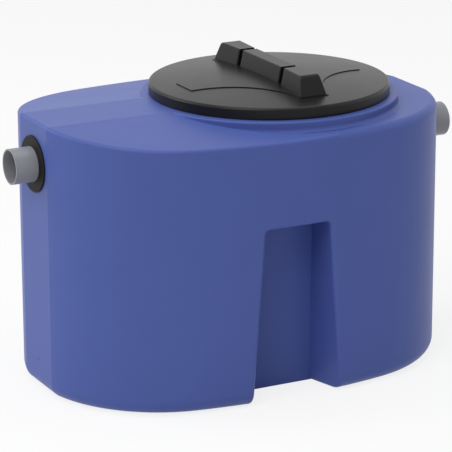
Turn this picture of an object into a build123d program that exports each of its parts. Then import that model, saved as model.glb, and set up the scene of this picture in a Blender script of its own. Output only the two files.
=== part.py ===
from build123d import *
import math
import os

os.makedirs("parts", exist_ok=True)

# A grease separator: a moulded tank with an oval plan and a flat at each end for its pipe,
# a round lid on a raised neck, a bar handle on the lid, and an inlet bend and an outlet
# tee inside. The origin is on the floor under the middle of the tank. The inlet is at -X.

# Tank: outside sizes of the plan, the roof and the wall
tank_length = 608.4
tank_width = 418.2
end_flat = 90.0
side_bow_radius = 830.0
side_bow_length = 298.4
roof_height = 392.6
roof_fall_angle = 6.0
wall = 5.0
foot_radius = 21.0
inlet_rim_radius = 5.0
outlet_rim_radius = 12.0
cut_margin = 2.0

# Recess in the middle of each long side, open at the bottom
recess_height = 253.5
recess_depth = 67.0
recess_back_lean = 1.8
recess_inner_width = 104.0
recess_top_width = 99.0
recess_bottom_width = 141.0
recess_ceiling_draft = 3.0
recess_corner_radius = 7.0
recess_lip_radius = 6.0

# Neck under the lid, with the round ledge that carries it
neck_to_outlet = 56.2
ledge_radius = 185.0
ledge_edge_radius = 2.5
ledge_foot_radius = 5.0
neck_radius = 160.0
neck_rise = 9.8
seal_width = 7.0
seal_margin = 0.5

# Lid, with a raised panel shaped like a four-pointed star
lid_radius = 172.7
lid_edge_radius = 4.1
lid_height = 16.3
lid_dome = 8.0
lid_wall = 4.0
lid_ledge_gap = 0.7
lid_seat_gap = 0.3
panel_rise = 1.2
panel_half_length = 136.0
panel_scoop_x = 149.0
panel_scoop_y = 150.6
panel_scoop_radius = 127.5

# Bar handle on the lid, cut by two slots
handle_length = 268.0
handle_end_width = 46.0
handle_grip_width = 38.0
handle_grip_length = 116.0
handle_slot = 9.0
handle_height = 31.0
handle_end_draft = 22.0
handle_side_draft = 12.0
handle_edge_radius = 2.0
handle_end_radius = 7.0

# Pipes through the end walls, each in a rubber grommet
pipe_radius = 25.0
pipe_wall = 2.0
pipe_below_roof = 61.7
pipe_inside_length = 46.0
inlet_reach = 36.1
outlet_reach = 49.5
pipe_step = 0.5
seat_clearance = 0.1
seat_margin = 1.0
grommet_sleeve = 3.5
grommet_flange_radius = 40.0
grommet_flange = 3.0
grommet_lip_radius = 33.0

# Bend and tee inside, and the pipes that hang from them
socket_wall = 2.6
socket_depth = 24.0
bend_radius = 34.0
drop_pipe_end = 190.0
dip_pipe_end = 90.0
tee_rise = 40.0

# Plan of the tank: a shallow bow along each side, and an arc from its end to the flat
bow_angle = math.asin(side_bow_length / 2 / side_bow_radius)
bow_normal = Vector(math.sin(bow_angle), math.cos(bow_angle))
bow_end = Vector(side_bow_length / 2, tank_width / 2 - side_bow_radius * (1 - math.cos(bow_angle)))
chord = Vector(tank_length / 2, end_flat / 2) - bow_end
corner_radius = -chord.dot(chord) / (2 * chord.dot(bow_normal))
corner_centre = bow_end - bow_normal * corner_radius
neck_x = tank_length / 2 - ledge_radius - neck_to_outlet

# Heights: the low roof at the outlet end meets the falling sides just inside the ledge
fall = math.tan(math.radians(roof_fall_angle))
low_roof = roof_height - fall * (ledge_radius - ledge_edge_radius - end_flat / 2)
neck_top = roof_height + neck_rise
inlet_z = roof_height - pipe_below_roof
outlet_z = low_roof - pipe_below_roof
lid_low = roof_height + lid_ledge_gap
lid_edge = lid_low + lid_height
lid_under = lid_edge - lid_wall
arc_share = 1 - math.sqrt(0.5)


def block(x_low, x_high, y_low, y_high, z_low, z_high):
    size = (x_high - x_low, y_high - y_low, z_high - z_low)
    return Pos(x_low, y_low, z_low) * Box(*size, align=Align.MIN)


def ring(outer, inner, low, high):
    # A plain ring or tube about the neck's axis
    profile = Pos((outer + inner) / 2, (low + high) / 2) * Rectangle(outer - inner, high - low)
    return Pos(neck_x, 0, 0) * revolve(Plane.XZ * profile, Axis.Z)


def outline(inset):
    # The tank's plan, moved in by the inset
    radius = corner_radius - inset
    flat_x = tank_length / 2 - inset
    flat_y = corner_centre.Y + math.sqrt(radius**2 - (flat_x - corner_centre.X) ** 2)
    first = math.atan2(flat_y - corner_centre.Y, flat_x - corner_centre.X)
    middle = (first + math.pi / 2 - bow_angle) / 2
    arc_middle = corner_centre + Vector(math.cos(middle), math.sin(middle)) * radius
    join = bow_end - bow_normal * inset
    corner = ThreePointArc((flat_x, flat_y), arc_middle, join)
    bow = ThreePointArc(join, (0, tank_width / 2 - inset), (-join.X, join.Y))
    half = Curve() + [corner, bow, mirror(corner, Plane.YZ)]
    flat = Line((flat_x, -flat_y), (flat_x, flat_y))
    return make_face(Curve() + [half, mirror(half, Plane.XZ), flat, mirror(flat, Plane.YZ)])


def rimmed(form, radius):
    # The form with its whole top rim rounded
    walls = [face for face in form.faces() if abs(face.normal_at().Z) < 0.01]
    rim = [edge for face in walls for edge in face.edges() if edge.center().Z > roof_height / 2]
    rim = [edge for edge in rim if abs((edge % 0.5).Z) < 0.9]
    return fillet(rim, radius) if radius > 0 else form


def roofed(inset):
    # Level along the middle and falling to both sides, with a low level part at the outlet
    top = roof_height - inset
    crease = end_flat / 2 - inset * math.tan(math.radians(roof_fall_angle / 2))
    reach = tank_width
    edge = top - fall * (reach - crease)
    side = make_face(Polyline((crease, top), (reach, edge), (reach, 2 * top), (crease, 2 * top), close=True))
    wedge = extrude(Plane.YZ * side, tank_length, both=True)
    high = extrude(outline(inset), top) - wedge - mirror(wedge, Plane.XZ)
    low = rimmed(extrude(outline(inset), low_roof - inset), outlet_rim_radius - inset)
    outlet_half = block(neck_x, tank_length, -tank_width, tank_width, 0, 2 * roof_height)
    form = rimmed(high, inlet_rim_radius - inset) - (outlet_half - low)
    return form & block(-tank_length, tank_length, -tank_width, tank_width, inset, roof_height)


def ledge(inset):
    # The raised round ledge, with a hollow foot where it stands on the low roof
    radius = ledge_radius - inset
    top = roof_height - inset
    low = low_roof - inset
    foot = ledge_foot_radius
    edge = ledge_edge_radius
    base = low - foot_radius
    wide = radius + foot
    profile = Polyline((radius - edge, top), (0, top), (0, base), (wide, base), (wide, low))
    between = (radius + foot * arc_share, low + foot * arc_share)
    profile += ThreePointArc((wide, low), between, (radius, low + foot))
    profile += Line((radius, low + foot), (radius, top - edge))
    profile += ThreePointArc(
        (radius, top - edge), (radius - edge * arc_share, top - edge * arc_share), (radius - edge, top)
    )
    return Pos(neck_x, 0, 0) * revolve(Plane.XZ * make_face(profile), Axis.Z)


def recess(grow):
    # The front recess as a solid: its mouth is wider at the bottom, its back leans out a little
    def section(share):
        bottom = recess_inner_width + share * (recess_bottom_width - recess_inner_width) + 2 * grow
        top = recess_inner_width + share * (recess_top_width - recess_inner_width) + 2 * grow
        height = recess_height - (1 - share) * recess_ceiling_draft + grow
        below = wall + recess_corner_radius
        foot = bottom / 2 + (bottom - top) / 2 / height * below
        face = make_face(
            Polyline((-foot, -below), (foot, -below), (top / 2, height), (-top / 2, height), close=True)
        )
        face = fillet(face.vertices().group_by(Axis.Y)[-1], recess_corner_radius + grow)
        lean = math.radians(recess_back_lean) * max(0, 1 - share)
        start = (0, recess_depth * (1 - share) - tank_width / 2, 0)
        return Plane(origin=start, x_dir=(1, 0, 0), z_dir=(0, -math.cos(lean), -math.sin(lean))) * face

    return loft([section(-grow / recess_depth), section(1.2)], ruled=True)


def tank_form(inset):
    # The outer form of the tank, or with an inset the hollow inside it
    form = roofed(inset)
    form = fillet(form.edges().group_by(Axis.Z)[0], foot_radius - inset)
    form += ledge(inset)
    return form - recess(inset) - mirror(recess(inset), Plane.XZ)


def recess_mouth(form):
    # The edges where the two recesses run out through the long sides
    edges = [edge for edge in form.edges() if edge.bounding_box().max.Z < recess_height + 1]
    edges = [edge for edge in edges if edge.bounding_box().max.Z > 1]
    edges = [edge for edge in edges if abs(edge.center().X) < recess_bottom_width / 2 + foot_radius / 2]
    return [edge for edge in edges if abs(edge.center().Y) > tank_width / 2 - foot_radius]


def save(name, shape):
    shape.label = name
    export_step(shape, f"parts/{name}.step")
    print(name, round(shape.volume / 1000, 1), "cm3", len(shape.faces()), "faces")


# The moulded shell in one piece, with the neck and the holes for the pipes
outer = tank_form(0)
outer = fillet(recess_mouth(outer), recess_lip_radius)
neck_bore = neck_radius - wall
shell = outer - tank_form(wall)
shell += ring(neck_radius, neck_bore, roof_height - wall, neck_top)
shell -= ring(neck_bore, 0, low_roof, neck_top + wall)
hole = Plane.YZ * Cylinder(pipe_radius + grommet_sleeve + seat_clearance, 4 * foot_radius)
shell -= Pos(-tank_length / 2, 0, inlet_z) * hole
shell -= Pos(tank_length / 2, 0, outlet_z) * hole

# The shell as its floor, ends, sides, roof, ledge and neck, which meet face to face
side_x = tank_length / 2 + wall
side_y = tank_width / 2 + wall
floor_top = foot_radius + cut_margin
band_top = low_roof - outlet_rim_radius - cut_margin
waist = recess_bottom_width / 2 + 2 * wall
strip = (end_flat - cut_margin) / 2
end_x = tank_length / 2 - foot_radius - cut_margin / 2
inlet_end = block(-side_x, -end_x, -strip, strip, floor_top, roof_height - inlet_rim_radius - cut_margin)
outlet_end = block(end_x, side_x, -strip, strip, floor_top, band_top)
save("tank_floor", shell & block(-side_x, side_x, -side_y, side_y, 0, floor_top))
save("tank_inlet_end", shell & inlet_end)
save("tank_outlet_end", shell & outlet_end)
band = shell & block(-side_x, side_x, -side_y, side_y, floor_top, band_top)
band -= inlet_end + outlet_end
roof = shell & block(-side_x, side_x, -side_y, side_y, band_top, neck_top)
roof -= inlet_end + outlet_end
around_neck = ring(ledge_radius + ledge_foot_radius, neck_radius, band_top, neck_top)
ledges = roof & around_neck
save("tank_neck", roof & ring(neck_radius, 0, band_top, neck_top))
roof -= ring(ledge_radius + ledge_foot_radius, 0, band_top, neck_top)
save("tank_roof_strip", roof & block(-side_x, neck_x, -strip, strip, band_top, neck_top))
for side, low, high in (("front", -side_y, 0), ("back", 0, side_y)):
    save(f"tank_{side}_inlet_side", band & block(-side_x, -waist, low, high, 0, band_top))
    save(f"tank_{side}_waist", band & block(-waist, waist, low, high, 0, band_top))
    save(f"tank_{side}_outlet_side", band & block(waist, side_x, low, high, 0, band_top))
    save(f"tank_ledge_{side}", ledges & block(-side_x, side_x, low, high, band_top, neck_top))
    falling = roof & block(-side_x, neck_x, low, high, band_top, neck_top)
    save(f"tank_roof_inlet_{side}", falling - block(-side_x, neck_x, -strip, strip, band_top, neck_top))
    save(f"tank_roof_outlet_{side}", roof & block(neck_x, side_x, low, high, band_top, neck_top))


def tube(outer_radius, inner_radius, length):
    # A tube that starts at the origin and runs up
    return extrude(Circle(outer_radius) - Circle(inner_radius), length)


def rod(radius, length):
    return extrude(Circle(radius), length)


# What sits in a grommet or in a socket is a step thinner than the pipe's free end
bore = pipe_radius - pipe_wall
seated_radius = pipe_radius - pipe_step
seat_radius = seated_radius + seat_clearance
socket_radius = seat_radius + socket_wall


def grommet():
    # A rubber ring in the wall, outside at +Z: thin flange, sleeve and a smaller lip inside
    profile = Polyline(
        (seat_radius, -wall - grommet_flange),
        (grommet_lip_radius, -wall - grommet_flange),
        (grommet_lip_radius, -wall),
        (pipe_radius + grommet_sleeve, -wall),
        (pipe_radius + grommet_sleeve, 0),
        (grommet_flange_radius, 0),
        (grommet_flange_radius, grommet_flange - 1),
        (grommet_flange_radius - 1, grommet_flange),
        (seat_radius, grommet_flange),
        close=True,
    )
    return revolve(Plane.XZ * make_face(profile), Axis.Z)


def pipe(reach):
    # A pipe through the wall, outside at +Z
    seat_end = grommet_flange + seat_margin
    seated = Pos(0, 0, -pipe_inside_length) * tube(seated_radius, bore, pipe_inside_length + seat_end)
    return seated + Pos(0, 0, seat_end) * tube(pipe_radius, bore, reach - seat_end)


inlet_face = Plane(origin=(-tank_length / 2, 0, inlet_z), x_dir=(0, 0, 1), z_dir=(-1, 0, 0))
outlet_face = Plane(origin=(tank_length / 2, 0, outlet_z), x_dir=(0, 0, 1), z_dir=(1, 0, 0))
save("inlet_grommet", inlet_face * grommet())
save("outlet_grommet", outlet_face * grommet())
save("inlet_pipe", inlet_face * pipe(inlet_reach))
save("outlet_pipe", outlet_face * pipe(outlet_reach))

# Inside the inlet: a bend with a socket at each end, and a pipe down below the grease
bend_x = pipe_inside_length - tank_length / 2
drop_x = bend_x + bend_radius
drop_top = inlet_z - bend_radius
arc = Plane.XZ * CenterArc((bend_x, drop_top), bend_radius, 0, 90)
throat = Plane(origin=(bend_x, 0, inlet_z), z_dir=(1, 0, 0))
bend = sweep(throat * (Circle(socket_radius) - Circle(bore)), arc)
socket = tube(socket_radius, seat_radius, socket_depth)
bend += Pos(bend_x - socket_depth, 0, inlet_z) * Rot(0, 90, 0) * socket
bend += Pos(drop_x, 0, drop_top - socket_depth) * socket
save("inlet_bend", bend)
drop_length = drop_top - drop_pipe_end
save("inlet_drop_pipe", Pos(drop_x, 0, drop_pipe_end) * tube(seated_radius, bore, drop_length))

# Inside the outlet: a tee open at the top, and a pipe that dips near the floor
tee_x = tank_length / 2 - pipe_inside_length - pipe_radius
tee_low = outlet_z - pipe_radius - socket_depth
tee_length = outlet_z + tee_rise - tee_low
branch = Pos(tee_x, 0, outlet_z) * Rot(0, 90, 0)
tee = Pos(tee_x, 0, tee_low) * rod(socket_radius, tee_length)
tee += branch * rod(socket_radius, pipe_radius + socket_depth)
tee -= Pos(tee_x, 0, tee_low) * (rod(seat_radius, socket_depth) + rod(bore, tee_length))
tee -= branch * (rod(bore, pipe_radius) + Pos(0, 0, pipe_radius) * rod(seat_radius, socket_depth))
save("outlet_tee", tee)
dip_length = tee_low + socket_depth - dip_pipe_end
save("outlet_dip_pipe", Pos(tee_x, 0, dip_pipe_end) * tube(seated_radius, bore, dip_length))


def dome_arc(radius, height):
    # A shallow arc from the axis out to the radius, where it is at the height
    sphere = (radius**2 + lid_dome**2) / (2 * lid_dome)
    half = math.sqrt(sphere**2 - radius**2 / 4)
    top = height + lid_dome
    return ThreePointArc((0, top), (radius / 2, top + half - sphere), (radius, height))


def domed_disc(radius, height, low):
    profile = dome_arc(radius, height)
    profile += Polyline((radius, height), (radius, low), (0, low), (0, height + lid_dome))
    return Pos(neck_x, 0, 0) * revolve(Plane.XZ * make_face(profile), Axis.Z)


# The lid: a skirt with a rounded edge, and a domed top whose flat underside rests on the seal
top_radius = lid_radius - lid_edge_radius
skirt = lid_radius - lid_wall
seat_inner = neck_radius - seal_width - lid_wall
profile = dome_arc(top_radius, lid_edge) + dome_arc(seat_inner, lid_under)
profile += Polyline((seat_inner, lid_under), (skirt, lid_under), (skirt, lid_low), (lid_radius, lid_low))
profile += Line((lid_radius, lid_low), (lid_radius, lid_edge - lid_edge_radius))
profile += ThreePointArc(
    (lid_radius, lid_edge - lid_edge_radius),
    (lid_radius - lid_edge_radius * arc_share, lid_edge - lid_edge_radius * arc_share),
    (top_radius, lid_edge),
)
profile += Line((0, lid_edge + lid_dome), (0, lid_under + lid_dome))
lid = Pos(neck_x, 0, 0) * revolve(Plane.XZ * make_face(profile), Axis.Z)
star = Rectangle(2 * panel_half_length, handle_length)
for x in (-panel_scoop_x, panel_scoop_x):
    for y in (-panel_scoop_y, panel_scoop_y):
        star -= Pos(x, y) * Circle(panel_scoop_radius)
panel = domed_disc(top_radius, lid_edge + panel_rise, lid_edge - lid_wall / 2)
panel &= Pos(neck_x, 0, lid_under) * extrude(star, lid_height + lid_dome)
solid_lid = domed_disc(top_radius, lid_edge, lid_low)
lid += panel - solid_lid
save("lid_cover", lid)
seal = ring(neck_radius - seal_margin, neck_radius - seal_width, neck_top, lid_under - lid_seat_gap)
save("neck_seal", seal)

# The bar handle: one tapered bar, cut by two slots into a grip and two ends
grip_half = handle_grip_length / 2
end_start = grip_half + handle_slot
waist_y = grip_half + handle_slot / 2
grip_x = handle_grip_width / 2
foot_y = handle_length / 2
far_x = grip_x + (handle_end_width / 2 - grip_x) * (handle_length - waist_y) / (foot_y - waist_y)
right = [(far_x, -handle_length), (grip_x, -waist_y), (grip_x, waist_y), (far_x, handle_length)]
left = [(-x, y) for x, y in reversed(right)]
bar_low = lid_edge - lid_wall / 2
bar_rise = handle_height + lid_wall / 2
bar = extrude(make_face(Polyline(*right, *left, close=True)), bar_rise, taper=handle_side_draft)
top_y = foot_y - bar_rise * math.tan(math.radians(handle_end_draft))
length_side = Polyline((-foot_y, 0), (foot_y, 0), (top_y, bar_rise), (-top_y, bar_rise), close=True)
bar = bar & extrude(Plane.YZ * make_face(length_side), handle_end_width, both=True)
bar = Pos(neck_x, 0, bar_low) * bar
blocks = {
    "handle_front_end": bar & block(0, lid_radius, -handle_length, -end_start, 0, 2 * bar_low),
    "handle_grip": bar & block(0, lid_radius, -grip_half, grip_half, 0, 2 * bar_low),
    "handle_back_end": bar & block(0, lid_radius, end_start, handle_length, 0, 2 * bar_low),
}
for name, shape in blocks.items():
    across = shape.edges().group_by(Axis.Z)[-1].filter_by(Axis.X)
    outer_edge = [edge for edge in across if abs(edge.center().Y) > waist_y + handle_slot]
    if outer_edge:
        shape = fillet(outer_edge, handle_end_radius)
    edges = shape.edges().filter_by(GeomType.LINE).filter_by(lambda edge: edge.center().Z > bar_low + 1)
    shape = fillet([edge for edge in edges if abs((edge % 0.5).X) < 0.9], handle_edge_radius)
    save(name, shape - lid - solid_lid)
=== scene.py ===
import math
import bpy
from mathutils import Matrix, Vector

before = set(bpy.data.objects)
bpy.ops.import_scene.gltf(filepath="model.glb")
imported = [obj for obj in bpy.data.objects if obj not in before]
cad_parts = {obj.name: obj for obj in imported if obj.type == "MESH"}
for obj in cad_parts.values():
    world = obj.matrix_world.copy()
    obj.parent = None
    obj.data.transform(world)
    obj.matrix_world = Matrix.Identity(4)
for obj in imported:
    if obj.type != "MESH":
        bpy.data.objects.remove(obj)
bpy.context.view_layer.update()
print("frame loaded:", len(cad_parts), "nodes")

scene = bpy.context.scene
scene.view_settings.view_transform = "Standard"


class Wire:
    # one output in a shading tree; sums on it add Math nodes
    def __init__(self, shading, socket):
        self.shading = shading
        self.socket = socket

    def maths(self, operation, first, second):
        return self.shading.out(self.shading.add("ShaderNodeMath", {"operation": operation}, {0: first, 1: second}))

    def __add__(self, other):
        return self.maths("ADD", self, other)

    def __radd__(self, other):
        return self.maths("ADD", other, self)

    def __sub__(self, other):
        return self.maths("SUBTRACT", self, other)

    def __rsub__(self, other):
        return self.maths("SUBTRACT", other, self)

    def __mul__(self, other):
        return self.maths("MULTIPLY", self, other)

    def __rmul__(self, other):
        return self.maths("MULTIPLY", other, self)

    def larger(self, other):
        return self.maths("MAXIMUM", self, other)


class Shading:
    # a node tree, and short ways to fill it
    def __init__(self, tree):
        self.tree = tree

    def add(self, kind, settings, inputs):
        node = self.tree.nodes.new(kind)
        for key, value in settings.items():
            setattr(node, key, value)
        self.feed(node, inputs)
        return node

    def feed(self, node, inputs):
        for key, value in inputs.items():
            if isinstance(value, Wire):
                self.tree.links.new(value.socket, node.inputs[key])
            else:
                node.inputs[key].default_value = value

    def out(self, node, key=0):
        return Wire(self, node.outputs[key])

    def seenWhite(self):
        # 1 for rays from the camera, from glossy surfaces and through clear ones
        path = self.add("ShaderNodeLightPath", {}, {})
        seen = self.out(path, "Is Camera Ray").larger(self.out(path, "Is Glossy Ray"))
        return seen.larger(self.out(path, "Is Transmission Ray"))


class Finish(Shading):
    # a material and its tree
    def __init__(self, name):
        self.material = bpy.data.materials.new(name)
        self.material.use_nodes = True
        super().__init__(self.material.node_tree)
        self.shader = self.tree.nodes["Principled BSDF"]
        self.place = self.out(self.add("ShaderNodeTexCoord", {}, {}), "Object")

    def noise(self, scale, detail, stretch=(1, 1, 1)):
        place = self.add("ShaderNodeVectorMath", {"operation": "MULTIPLY"}, {0: self.place, 1: stretch})
        node = self.add("ShaderNodeTexNoise", {}, {"Vector": self.out(place), "Scale": scale, "Detail": detail})
        return self.out(node, "Fac")

    def fade(self, wire, start, end):
        # 1 below the start, 0 above the end
        span = {"Value": wire, "From Min": start, "From Max": end, "To Min": 1.0, "To Max": 0.0}
        return self.out(self.add("ShaderNodeMapRange", {"interpolation_type": "SMOOTHSTEP"}, span))

    def mark(self, point, radius, edge):
        # 1 on a small round mark; its edge is given in radii
        away = self.add("ShaderNodeVectorMath", {"operation": "DISTANCE"}, {0: self.place, 1: point})
        return self.fade(self.out(away, "Value"), radius * edge[0], radius * edge[1])

    def blend(self, share, first, second):
        node = self.add("ShaderNodeMix", {"data_type": "RGBA"}, {0: share, 6: first, 7: second})
        return self.out(node, 2)

    def uneven(self, wire, values):
        # roughness that wanders with a noise
        return values["roughness"] + (wire - 0.5) * values["roughnessSpread"]

    def bump(self, height):
        # height in metres
        return self.out(self.add("ShaderNodeBump", {}, {"Height": height, "Distance": 1.0}))


def linear(red, green, blue):
    # a screen colour, 0 to 255, as the shader wants it
    parts = [value / 255 for value in (red, green, blue)]
    return tuple(((v + 0.055) / 1.055) ** 2.4 if v > 0.04045 else v / 12.92 for v in parts) + (1.0,)


# moulded blue tank, with a pin mark low on the inlet flat
tank = {
    "colour": linear(72, 89, 157),
    "colourLight": linear(79, 96, 165),
    "cloud": (9.0, 3.0),  # noise: scale and detail
    "speck": (1500.0, 1.0),
    "speckEdge": (0.35, 0.75),
    "cloudShare": 0.7,  # the specks have the rest
    "roughness": 0.42,
    "roughnessSpread": 0.1,
    "specular": 0.2,
    "peel": (420.0, 2.0),
    "peelDepth": 0.00012,
    "wave": (16.0, 1.0),
    "waveDepth": 0.0008,
    "pinPlace": (-0.3042, 0.0007, 0.0456),
    "pinRadius": 0.0016,
    "pinEdge": (0.7, 1.3),
    "pinDepth": 0.0005,
    "pinColour": linear(30, 34, 70),
}


def makeTankFinish():
    finish = Finish("tankBlue")
    cloud = finish.noise(*tank["cloud"])
    peel = finish.noise(*tank["peel"])
    wave = finish.noise(*tank["wave"])
    speck = finish.fade(finish.noise(*tank["speck"]), *tank["speckEdge"])
    pin = finish.mark(tank["pinPlace"], tank["pinRadius"], tank["pinEdge"])
    share = cloud * tank["cloudShare"] + speck * (1 - tank["cloudShare"])
    skin = finish.blend(share, tank["colour"], tank["colourLight"])
    height = peel * tank["peelDepth"] + wave * tank["waveDepth"] - pin * tank["pinDepth"]
    finish.feed(finish.shader, {
        "Base Color": finish.blend(pin, skin, tank["pinColour"]),
        "Roughness": finish.uneven(cloud, tank),
        "Specular IOR Level": tank["specular"],
        "Normal": finish.bump(height),
    })
    return finish.material


# dark lid and handle, with the mark of the moulding gate on the grip
lid = {
    "colour": linear(16, 16, 17),
    "colourLight": linear(24, 24, 25),
    "cloud": (14.0, 3.0),  # noise: scale and detail
    "grain": (1300.0, 2.0),
    "cloudShare": 0.6,  # the grain has the rest
    "grainDepth": 0.00004,
    "roughness": 0.32,
    "roughnessSpread": 0.06,
    "specular": 0.2,
    "gatePlace": (0.065, 0.008, 0.4406),
    "gateRadius": 0.0026,
    "gateEdge": (0.75, 1.0),
    "gateDepth": 0.0004,
    "gateShare": 0.6,
    "gateColour": linear(14, 14, 14),
}


def makeLidFinish():
    finish = Finish("lidBlack")
    cloud = finish.noise(*lid["cloud"])
    grain = finish.noise(*lid["grain"])
    gate = finish.mark(lid["gatePlace"], lid["gateRadius"], lid["gateEdge"])
    share = cloud * lid["cloudShare"] + grain * (1 - lid["cloudShare"])
    skin = finish.blend(share, lid["colour"], lid["colourLight"])
    finish.feed(finish.shader, {
        "Base Color": finish.blend(gate * lid["gateShare"], skin, lid["gateColour"]),
        "Roughness": finish.uneven(cloud, lid),
        "Specular IOR Level": lid["specular"],
        "Normal": finish.bump(grain * lid["grainDepth"] - gate * lid["gateDepth"]),
    })
    return finish.material


# light grey pipe, faintly drawn along its length
pipe = {
    "colour": linear(132, 133, 138),
    "colourLight": linear(142, 143, 148),
    "cloud": (20.0, 2.0),  # noise: scale and detail
    "drawn": (260.0, 3.0, (0.06, 1, 1)),  # and how far it is stretched
    "drawnShare": 0.5,
    "drawnDepth": 0.00004,
    "roughness": 0.36,
    "roughnessSpread": 0.1,
    "specular": 0.4,
}


def makePipeFinish():
    finish = Finish("pipeGrey")
    drawn = finish.noise(*pipe["drawn"])
    cloud = finish.noise(*pipe["cloud"])
    share = drawn * pipe["drawnShare"] + cloud * (1 - pipe["drawnShare"])
    finish.feed(finish.shader, {
        "Base Color": finish.blend(share, pipe["colour"], pipe["colourLight"]),
        "Roughness": finish.uneven(drawn, pipe),
        "Specular IOR Level": pipe["specular"],
        "Normal": finish.bump(drawn * pipe["drawnDepth"]),
    })
    return finish.material


# black rubber rings
rubber = {
    "colour": linear(13, 13, 14),
    "colourLight": linear(20, 20, 21),
    "cloud": (60.0, 3.0),  # noise: scale and detail
    "grain": (1800.0, 2.0),
    "grainDepth": 0.00005,
    "roughness": 0.6,
    "roughnessSpread": 0.12,
    "specular": 0.2,
}


def makeRubberFinish():
    finish = Finish("rubberBlack")
    cloud = finish.noise(*rubber["cloud"])
    grain = finish.noise(*rubber["grain"])
    finish.feed(finish.shader, {
        "Base Color": finish.blend(cloud, rubber["colour"], rubber["colourLight"]),
        "Roughness": finish.uneven(cloud, rubber),
        "Specular IOR Level": rubber["specular"],
        "Normal": finish.bump(grain * rubber["grainDepth"]),
    })
    return finish.material


finishes = {
    "tank": makeTankFinish(),
    "lid": makeLidFinish(),
    "pipe": makePipeFinish(),
    "rubber": makeRubberFinish(),
}


def finishFor(node):
    if node.startswith("tank"):
        return finishes["tank"]
    if node.startswith(("lid", "handle")):
        return finishes["lid"]
    if "grommet" in node or "seal" in node:
        return finishes["rubber"]
    return finishes["pipe"]


for name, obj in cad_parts.items():
    if not obj.material_slots:
        obj.data.materials.append(None)
    for materialSlot in obj.material_slots:
        materialSlot.material = finishFor(name)
print("finishes made")

# studio: white floor that still takes a shadow, white surround, soft lamps
studio = {
    "floorHalf": 12.0,
    "floorColour": (0.93, 0.93, 0.93, 1),
    "floorRoughness": 0.9,
    "floorSpecular": 0.1,
    "floorWhite": 0.82,  # share of the floor that shows as plain white
    "white": (1, 1, 1, 1),
    "worldStrength": 0.335,
    "aim": (0, 0, 0.2),
    "lamps": {
        "key": {"power": 66.0, "size": 2.5, "place": (-2.4, -1.6, 3.4)},
        "top": {"power": 36.0, "size": 2.5, "place": (0, 0, 3.6)},
        "right": {"power": 7.0, "size": 2.5, "place": (3.0, -1.0, 2.0)},
        "backLeft": {"power": 44.0, "size": 2.0, "place": (-2.6, 2.0, 2.2)},
    },
}


def makeFloor():
    half = studio["floorHalf"]
    mesh = bpy.data.meshes.new("floor")
    corners = [(-half, -half, 0), (half, -half, 0), (half, half, 0), (-half, half, 0)]
    mesh.from_pydata(corners, [], [(0, 1, 2, 3)])
    floor = bpy.data.objects.new("floor", mesh)
    scene.collection.objects.link(floor)
    finish = Finish("floorWhite")
    finish.feed(finish.shader, {
        "Base Color": studio["floorColour"],
        "Roughness": studio["floorRoughness"],
        "Specular IOR Level": studio["floorSpecular"],
    })
    white = finish.add("ShaderNodeEmission", {}, {"Color": studio["white"], "Strength": 1.0})
    share = finish.seenWhite() * studio["floorWhite"]
    mix = finish.add("ShaderNodeMixShader", {}, {0: share, 1: finish.out(finish.shader), 2: finish.out(white)})
    finish.feed(finish.tree.nodes["Material Output"], {"Surface": finish.out(mix)})
    mesh.materials.append(finish.material)


def makeWorld():
    world = bpy.data.worlds.new("surround")
    scene.world = world
    world.use_nodes = True
    world.node_tree.nodes.clear()
    sky = Shading(world.node_tree)
    light = sky.add("ShaderNodeBackground", {}, {"Color": studio["white"], "Strength": studio["worldStrength"]})
    white = sky.add("ShaderNodeBackground", {}, {"Color": studio["white"], "Strength": 1.0})
    mix = sky.add("ShaderNodeMixShader", {}, {0: sky.seenWhite(), 1: sky.out(light), 2: sky.out(white)})
    sky.add("ShaderNodeOutputWorld", {}, {"Surface": sky.out(mix)})


def makeLamp(name, values):
    data = bpy.data.lights.new(name, "AREA")
    data.size = values["size"]
    data.energy = values["power"]
    lamp = bpy.data.objects.new(name, data)
    scene.collection.objects.link(lamp)
    lamp.location = values["place"]
    aim = Vector(studio["aim"]) - Vector(values["place"])
    lamp.rotation_euler = aim.to_track_quat("-Z", "Y").to_euler()


makeFloor()
makeWorld()
for lampName, lampValues in studio["lamps"].items():
    makeLamp(lampName, lampValues)
print("studio made")

# camera, set to the photograph's outlines; angles in degrees
view = {
    "place": (-1.6555, -3.2181, 1.2973),
    "turn": 27.128,
    "drop": 16.894,
    "roll": -0.184,
    "lens": 208.59,
    "sensor": 36,
}


def makeCamera():
    data = bpy.data.cameras.new("camera")
    data.sensor_width = view["sensor"]
    data.lens = view["lens"]
    camera = bpy.data.objects.new("camera", data)
    scene.collection.objects.link(camera)
    turn = Matrix.Rotation(math.radians(-view["turn"]), 4, "Z")
    tilt = Matrix.Rotation(math.radians(90 - view["drop"]), 4, "X")
    roll = Matrix.Rotation(math.radians(view["roll"]), 4, "Z")
    camera.matrix_world = Matrix.Translation(view["place"]) @ turn @ tilt @ roll
    scene.camera = camera


makeCamera()
print("camera made")
